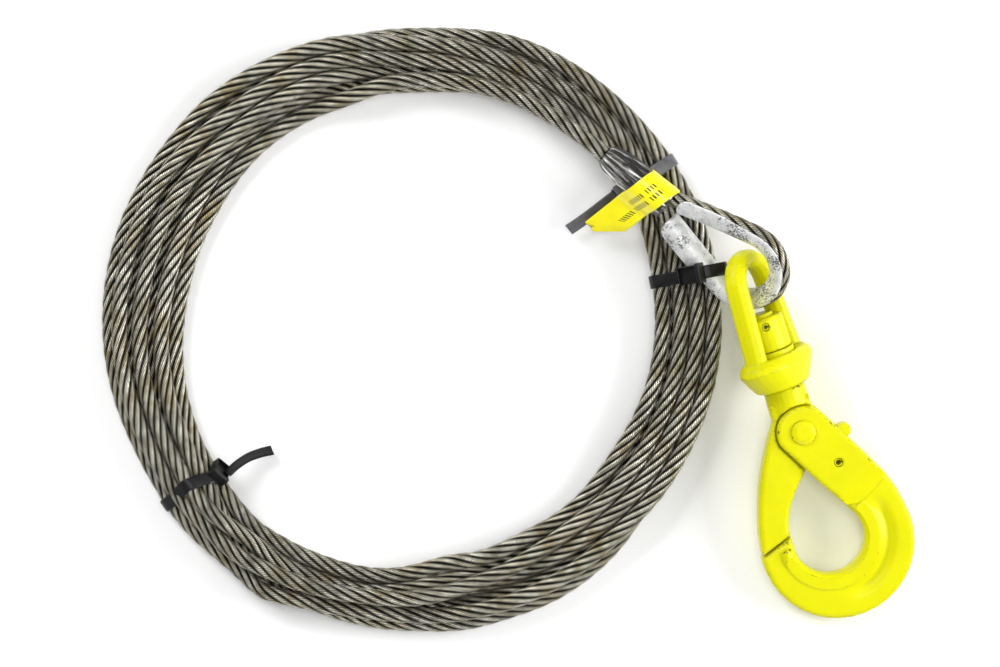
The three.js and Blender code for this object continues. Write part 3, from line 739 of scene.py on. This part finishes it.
piece(race(), BEARING, "bail", "bearing_steel", "bearing_lower_race")
piece(ball_ring(), BEARING, "ball_ring", "bearing_steel", "bearing_ball_ring")
piece(torsion_spring(), SPRING, "hook_body", "spring_steel", "trigger_spring")
finished("rope_splice", BEARING)

# ---- Eye: rope loop, thimble, sleeve and label, in millimetres of the eye's own frame -------------

BIGHT_R = 22.6
BIGHT_SPAN = math.radians(105)  # to each side of the eye's axis


def eye_route(tip_x, lower_y, upper_y):
    """From the lower tip round the bight to the upper tip."""
    start = BIGHT_R * np.array([math.cos(BIGHT_SPAN), math.sin(BIGHT_SPAN)])
    control = start + 20 * np.array([-math.sin(BIGHT_SPAN), math.cos(BIGHT_SPAN)])
    t = np.linspace(0, 1, 40)[:, None]
    lower, upper = ((1 - t) ** 2 * np.array([tip_x, y]) + 2 * t * (1 - t) * control + t**2 * start
                    for y in (lower_y, upper_y))
    angle = np.linspace(-BIGHT_SPAN, BIGHT_SPAN, 90)[1:-1, None]
    arc = BIGHT_R * np.concatenate([np.cos(angle), np.sin(angle)], 1)
    flat = np.concatenate([lower * (1, -1), arc, upper[::-1]])
    return np.concatenate([flat, np.zeros((len(flat), 1))], 1)


eye_strands = laid_strands("rope_eye_strand", place(EYE, eye_route(-58, 4.4, 4.4) * MM), tuple(EYE[:3, 2]),
                           RING_STEP * 0.7, around=14, turn=0.6)
for strand in eye_strands:
    piece(strand, ROPE_LOOK, "sling", "wire_rope")
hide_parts("rope_eye")


def thimble():
    """A heavy channel bent round the eye, with rounded rims and spoon-shaped tips."""
    mid_r, thick, spoon = 6.4, 2.2, 7.0
    bight_lip, leg_lip, far_lip = 2.4, 5.0, -1.0
    route, along = resample(eye_route(-51.5, 9.3, 7.2), 0.7)
    tangent = unit(np.gradient(route, along, axis=0))
    out = np.cross(tangent, [0, 0, 1])
    from_end = np.minimum(along, along[-1] - along)
    near = leg_lip + (bight_lip - leg_lip) * smooth(20, 52, from_end)
    lips = np.stack([near, far_lip + (bight_lip - far_lip) * smooth(50, 66, from_end)], 1)
    shoulder = (0.50 + 0.50 * np.sqrt(1 - (1 - np.clip(from_end / spoon, 0, 1)) ** 2))
    end_thick = thick * np.sqrt(1 - (1 - np.clip((from_end + 0.12) / 1.6, 0, 1)) ** 2)
    u = np.sin(np.linspace(-math.pi / 2, math.pi / 2, 31))
    half = (mid_r * math.pi / 2 + lips) * shoulder[:, None]
    w = np.where(u > 0, half[:, :1], half[:, 1:]) * u
    phi = np.clip(w / mid_r, -math.pi / 2, math.pi / 2)
    straight = np.abs(w) - np.abs(phi) * mid_r
    middle = np.stack([-mid_r * np.cos(phi) + straight, mid_r * np.sin(phi)], -1)
    normal = np.stack([-np.cos(phi), np.sin(phi)], -1)
    skin = (end_thick[:, None] / 2 * np.sqrt(1 - np.abs(u) ** 7) + 0.02)[..., None]
    section = np.concatenate([middle + normal * skin, (middle - normal * skin)[:, ::-1]], 1)
    rings = route[:, None] + section[..., :1] * out[:, None] + section[..., 1:] * np.array([0, 0, 1.0])
    obj = grid("thimble_skin", place(EYE, rings * MM), along * MM)
    convexity(obj)
    return piece(obj, ZINC, "sling", "galvanised_steel", "thimble")


thimble()

SLEEVE_MOUTH, SLEEVE_NECK = -56.0, -102.0
SLEEVE_BORE = 6.6


def swage_sleeve():
    """A pressed sleeve: eight flats on the taper, die seams and long streaks on the body."""
    x = np.linspace(SLEEVE_NECK, SLEEVE_MOUTH, 90)
    stations = [-102, -101.2, -93, -85, -80, -58, -56.6, -56]
    body = fair_curve(stations, [5.7, 6.3, 8.75, 9.6, 9.7, 9.7, 9.45, 8.6], x)
    theta = np.linspace(0, 2 * np.pi, 160, endpoint=False)[None, :]
    flats = math.cos(math.pi / 8) / np.cos(np.mod(theta, math.pi / 4) - math.pi / 8)
    share = (1 - smooth(-86, -72, x))[:, None]
    outer = body[:, None] * (1 + share * (1.06 * flats - 1.0) + 0.22 * (1 - share) * (flats - 0.97))
    for seam in (1.25, 1.25 + math.pi):
        away = np.abs(np.mod(theta - seam + math.pi, 2 * math.pi) - math.pi)
        outer = outer + 0.3 * np.exp(-((away / 0.05) ** 2)) * smooth(-99, -90, x)[:, None]
    outer = np.minimum(outer, 9.95)
    bore_x = np.array([SLEEVE_MOUTH, -60, -84, -96, SLEEVE_NECK])
    bore = np.array([SLEEVE_BORE + 0.4, SLEEVE_BORE, SLEEVE_BORE, 5.15, 5.05])[:, None] + 0 * theta
    radius = np.concatenate([outer, bore])
    xs = np.concatenate([x, bore_x])[:, None] + 0 * theta
    rings = np.stack([xs, radius * np.cos(theta), radius * np.sin(theta)], -1)
    obj = grid("swage_sleeve_skin", place(EYE, rings * MM), xs[:, 0] * MM, path_closed=True)
    return piece(obj, SWAGED, "sling", "swaged_steel", "swage_sleeve")


swage_sleeve()


def inspection_label():
    """A film strip round the sleeve whose two ends are stuck together as a drooping flag.

    line is the strip's edge-on shape: out along the flag, round the sleeve and back. t runs across the
    strip from -1 to 1, and cut is how far out the flag reaches at each t. slide leans the strip, so that
    it winds round the sleeve at a slant.
    """
    wrap_r, film, half_width = 10.25, 0.14, 9.7
    root, end, middle_x = 10.2, 44.3, -71.2
    x = np.linspace(end, 20, 60)
    arch = 1.1 * np.sin(np.pi * (x - 12) / (end - 12)) - 0.6 * smooth(34, end, x)
    upper = np.stack([x, arch + 0.16], 1)
    angle = np.radians(np.linspace(58, 302, 90))
    wrap = wrap_r * np.stack([np.cos(angle), np.sin(angle)], 1)
    lower = np.stack([x[::-1], arch[::-1] - 0.16], 1)
    line, along = resample(np.concatenate([upper, wrap, lower]), 0.5)
    for _ in range(12):
        line[1:-1] = 0.5 * line[1:-1] + 0.25 * (line[:-2] + line[2:])
    tangent = unit(np.gradient(line, along, axis=0))
    normal = np.stack([tangent[:, 1], -tangent[:, 0]], 1)
    t = np.linspace(-1, 1, 25)
    cut = np.interp(t, [-1, 0.2, 1], [end - 13, end, end - 2])
    stretch = (np.clip(line[:, :1] - root, 0, None) / (end - root))
    run = np.abs(along - along[-1] / 2)
    flag_x = np.where(line[:, :1] > root, root + stretch * (cut - root), line[:, :1])
    past_root = (run - run[int(np.argmin(np.abs(line[:, 0] - root)))])[:, None]
    slide = math.tan(math.radians(13)) * np.where(line[:, :1] > root, flag_x - root, past_root)
    corner = 1.3 * smooth(0.75, 1, stretch) * smooth(0.3, 1.0, t) ** 2
    rings = []
    for side in (1, -1):
        px = flag_x + side * film * normal[:, :1]
        py = line[:, 1:] + side * film * normal[:, 1:] + corner
        pz = half_width * t + slide
        rings.append(np.stack([px, py + 0 * px, pz], -1)[:, ::side])
    local = np.concatenate(rings, 1)
    droop = math.radians(30 - EYE_ROLL)
    eye = np.stack([-local[..., 2], -local[..., 0], local[..., 1]], -1)
    turned = eye.copy()
    turned[..., 1] = math.cos(droop) * eye[..., 1] - math.sin(droop) * eye[..., 2]
    turned[..., 2] = math.sin(droop) * eye[..., 1] + math.cos(droop) * eye[..., 2]
    turned[..., 0] += middle_x
    obj = grid("inspection_label_film", place(EYE, turned * MM), along * MM)
    layer = obj.data.uv_layers.new(name="print")
    signed = np.where(along < along[-1] / 2, run, -run)[:, None] + 0 * local[..., 0]
    across = half_width * np.concatenate([t, t[::-1]]) + 0 * signed
    spots = np.concatenate([np.stack([signed, across], -1).reshape(-1, 2), np.zeros((2, 2))])
    corners = np.zeros(len(obj.data.loops), np.int32)
    obj.data.loops.foreach_get("vertex_index", corners)
    layer.data.foreach_set("uv", spots[corners].astype(np.float32).ravel())
    return piece(obj, FILM, "sling", "label_film", "inspection_label")


inspection_label()

# ---- Cable ties ------------------------------------------------------------------------------------

TIE_WIDTH, TIE_THICK = 7.6, 1.3
# Where the right tie's strap goes round the thimble's lower leg: radius, height
LEG = [(163.1, 31.1), (171.8, 19.5), (177.1, 17.3), (183, 21.4), (184.8, 25.8), (183.1, 30.3), (174.9, 34.2),
       (169.5, 34.6), (164.5, 33)]


def turns_at(angle, skip=()):
    """Radius and height of each turn of the rope where it crosses a compass angle."""
    spots = []
    for k in range(len(TURNS) + 1):
        at = angle + 360 * k
        if THETA[0] <= at <= THETA[-1] and k not in skip:
            i = int(np.argmin(np.abs(THETA - at)))
            spots.append(WOUND[i])
    return spots


def hull(points):
    """The convex outline of flat points, anticlockwise."""
    points = sorted(map(tuple, points))

    def half(seq):
        out = []
        for p in seq:
            while len(out) > 1 and ((out[-1][0] - out[-2][0]) * (p[1] - out[-2][1])
                                    - (out[-1][1] - out[-2][1]) * (p[0] - out[-2][0])) <= 0:
                out.pop()
            out.append(p)
        return out[:-1]

    return np.array(half(points) + half(points[::-1]))


def rib_section(width, thick, count=20):
    """A strap's section: rounded rims and a slightly crowned back. Pairs of across and up."""
    a = np.linspace(0, 2 * np.pi, count, endpoint=False)
    across = np.sign(np.cos(a)) * np.abs(np.cos(a)) ** 0.35 * width / 2
    up = np.sign(np.sin(a)) * np.abs(np.sin(a)) ** 0.55 * thick / 2
    return np.stack([across, up], 1)


def tie_plane(angle):
    """The upright frame across the bundle at a compass angle."""
    a = math.radians(angle)
    return axes_matrix([math.cos(a), math.sin(a), 0], [-math.sin(a), math.cos(a), 0], [0, 0, 1], COIL_CENTRE)


def strap_band(name, angle, spots, extra, lean):
    """A closed strap pulled tight round the turns, and its line: radius, height, lean along the ring."""
    around = np.linspace(0, 2 * np.pi, 40, endpoint=False)
    away = ROPE_R + TIE_THICK / 2 + 0.15
    cloud = [(r + away * math.cos(a), max(z + away * math.sin(a), 0.8)) for r, z in spots for a in around]
    outline = hull([*cloud, *extra])
    closed = np.concatenate([outline, outline[:1]])
    gaps = np.linalg.norm(np.diff(closed, axis=0), axis=1)
    total = np.concatenate([[0], np.cumsum(gaps)])
    at = np.linspace(0, total[-1], int(total[-1] / 0.8), endpoint=False)
    line = np.stack([np.interp(at, total, closed[:, k]) for k in range(2)], 1)
    for _ in range(3):
        line = 0.5 * line + 0.25 * (np.roll(line, 1, 0) + np.roll(line, -1, 0))
    tangent = unit(np.roll(line, -1, 0) - np.roll(line, 1, 0))
    normal = np.stack([tangent[:, 1], -tangent[:, 0]], 1)
    section = rib_section(TIE_WIDTH, TIE_THICK)
    rings = np.zeros((len(line), len(section), 3))
    rings[..., 0] = line[:, None, 0] + normal[:, None, 0] * section[None, :, 1]
    top = smooth(7, 14, line[:, 1])
    aside = np.interp(line[:, 0], [r for r, _ in lean], [w for _, w in lean]) * top
    rings[..., 1] = aside[:, None] + section[None, :, 0]
    rings[..., 2] = line[:, None, 1] + normal[:, None, 1] * section[None, :, 1]
    line = np.concatenate([line, aside[:, None]], 1)
    return grid(name, place(tie_plane(angle), rings * MM), at * MM, path_closed=True), line


def tie_head(name, frame_matrix, size):
    """The ratchet head: a rounded box with a collar and an open window over the pawl."""
    length, width, height = size
    bm = bmesh.new()
    for (cx, lx, wy, hz, window) in ((0, length, width, height, True),
                                     (length / 2 + 0.6, 2.6, width + 1.2, height + 1.0, False)):
        made = bmesh.ops.create_cube(bm, size=1)["verts"]
        for v in made:
            v.co = Vector((v.co.x * lx + cx, v.co.y * wy, v.co.z * hz))
        faces = list(dict.fromkeys(f for v in made for f in v.link_faces))
        edges = list(dict.fromkeys(e for v in made for e in v.link_edges))
        if window:
            top = max(faces, key=lambda f: f.calc_center_median().z)
            bmesh.ops.inset_individual(bm, faces=[top], thickness=width * 0.17)
            for v in top.verts:
                v.co.z -= height * 0.35
                v.co.x -= length * 0.06
        bmesh.ops.bevel(bm, geom=edges, offset=min(hz, wy) * 0.11, segments=3, affect="EDGES", profile=0.6)
    bmesh.ops.triangulate(bm, faces=[f for f in bm.faces if len(f.verts) > 4])
    bmesh.ops.recalc_face_normals(bm, faces=bm.faces)
    matrix = Matrix([list(row) for row in frame_matrix])
    for v in bm.verts:
        v.co = matrix @ (v.co * MM)
    return linked(name, mesh_of(name, bm))


def tie_tail(name, points, tilts):
    """The loose end: a strap with a rack of teeth on one side. Points in millimetres."""
    steps = np.arange(len(points))
    line, along = resample(fair_curve(steps, np.array(points, float), np.linspace(0, steps[-1], 60)), 0.2)
    tilt = np.radians(np.interp(np.linspace(0, 1, len(line)), np.linspace(0, 1, len(tilts)), tilts))
    tangent = unit(np.gradient(line, along, axis=0))
    side = unit(np.cross(tangent, [0, 0, 1.0]))
    over = np.cross(side, tangent)
    across = np.cos(tilt)[:, None] * side + np.sin(tilt)[:, None] * over
    up = np.cross(across, tangent)
    section = rib_section(TIE_WIDTH * 0.95, TIE_THICK, 24)
    tooth = 0.32 * (np.mod(along, 1.3) / 1.3)[:, None]
    middle = np.exp(-((section[:, 0] / 2.6) ** 6))[None, :] * (section[:, 1] > 0)[None, :]
    rings = (line[:, None] + section[None, :, :1] * across[:, None]
             + (section[None, :, 1] - tooth * middle)[..., None] * up[:, None])
    return grid(name, rings * MM, along * MM)


def cable_tie(node, angle, spots, head_at, head_size, extra=(), tail=None, tilts=(20,), lean=((0, 0),),
              material=NYLON):
    """One tie: its band, its head on the band nearest head_at (radius, height), and its tail."""
    band, line = strap_band(f"{node}_band", angle, spots, extra, lean)
    k = int(np.argmin(np.linalg.norm(line[:, :2] - np.array(head_at), axis=1)))
    run = unit(line[(k + 4) % len(line)] - line[k - 4])
    normal = unit(np.array([run[1], -run[0]]))
    plane = tie_plane(angle)
    centre = line[k, :2] + normal * (head_size[2] / 2 - 1.2)
    across, along_coil, up = plane[:3, 0], plane[:3, 1], plane[:3, 2]
    x_axis = -(run[0] * across + run[1] * up + run[2] * along_coil)
    z_axis = normal[0] * across + normal[1] * up
    z_axis = unit(z_axis - (z_axis @ x_axis) * x_axis)
    origin = plane[:3, 3] + (centre[0] * across + centre[1] * up + line[k, 2] * along_coil) * MM
    head = tie_head(f"{node}_head", axes_matrix(x_axis, np.cross(z_axis, x_axis), z_axis, origin), head_size)
    parts = [band, head]
    if tail:
        parts.append(tie_tail(f"{node}_tail", tail, tilts))
    return piece(merge(f"{node}_nylon", parts), material, "sling", "black_nylon", node)


HEAD_SIZE = (10.5, 10.2, 6.4)
cable_tie("cable_tie_lower", 215.5, turns_at(215.5, skip=(1,)), (137.5, 12.0), HEAD_SIZE,
          lean=((130, 6), (137, 5.4), (150, 0), (158, -2.2), (173, 0)),
          tail=[(-163.5, -84.5, 12.5), (-158, -79.4, 11), (-151.5, -75.2, 8.6), (-144.5, -72.6, 6.4),
                (-137.8, -71, 4.8)], tilts=(50, 48, 42))
cable_tie("cable_tie_upper", 33, turns_at(33), (142, 13.0), HEAD_SIZE,
          tail=[(61, 76.6, 14.5), (54.5, 71.6, 13), (47.5, 66.2, 11.2), (40.5, 61, 9.4), (34.2, 56.8, 7.6)],
          tilts=(30, 30, 26), material=SHEEN_PAINTED_NYLON)
cable_tie("cable_tie_right", 11, turns_at(11), (163.8, 32.5), (12.5, 10.6, 6.6), extra=LEG)

# ---- Floor and light --------------------------------------------------------------------------

floor = mesh_from("floor", [(-6, -6, 0), (6, -6, 0), (6, 6, 0), (-6, 6, 0)], [(0, 1, 2, 3)])
n = Nodes("floor")
dress(floor, n.finish(color=(0.95, 0.95, 0.95), rough=0.8, specular=0.1))

world = bpy.data.worlds.new("world")
world.use_nodes = True
world.node_tree.nodes["Background"].inputs[0].default_value = (1, 1, 1, 1)
world.node_tree.nodes["Background"].inputs[1].default_value = 0.34
bpy.context.scene.world = world


def area_light(name, location, size, power):
    """A soft light that faces the middle of the object."""
    data = bpy.data.lights.new(name, "AREA")
    data.shape = "RECTANGLE"
    data.size, data.size_y = size
    data.energy = power
    obj = linked(name, data)
    obj.location = location
    obj.rotation_euler = (-Vector(location)).to_track_quat("-Z", "Y").to_euler()


area_light("key", (-1.5, 1.5, 1.5), (1.3, 1.3), 46)
area_light("top", (0.3, 0.2, 3.4), (1.2, 1.2), 26)
area_light("fill", (1.9, 0.1, 0.9), (1.2, 1.0), 38)
area_light("low", (0.2, -2.0, 1.3), (1.6, 0.8), 12)
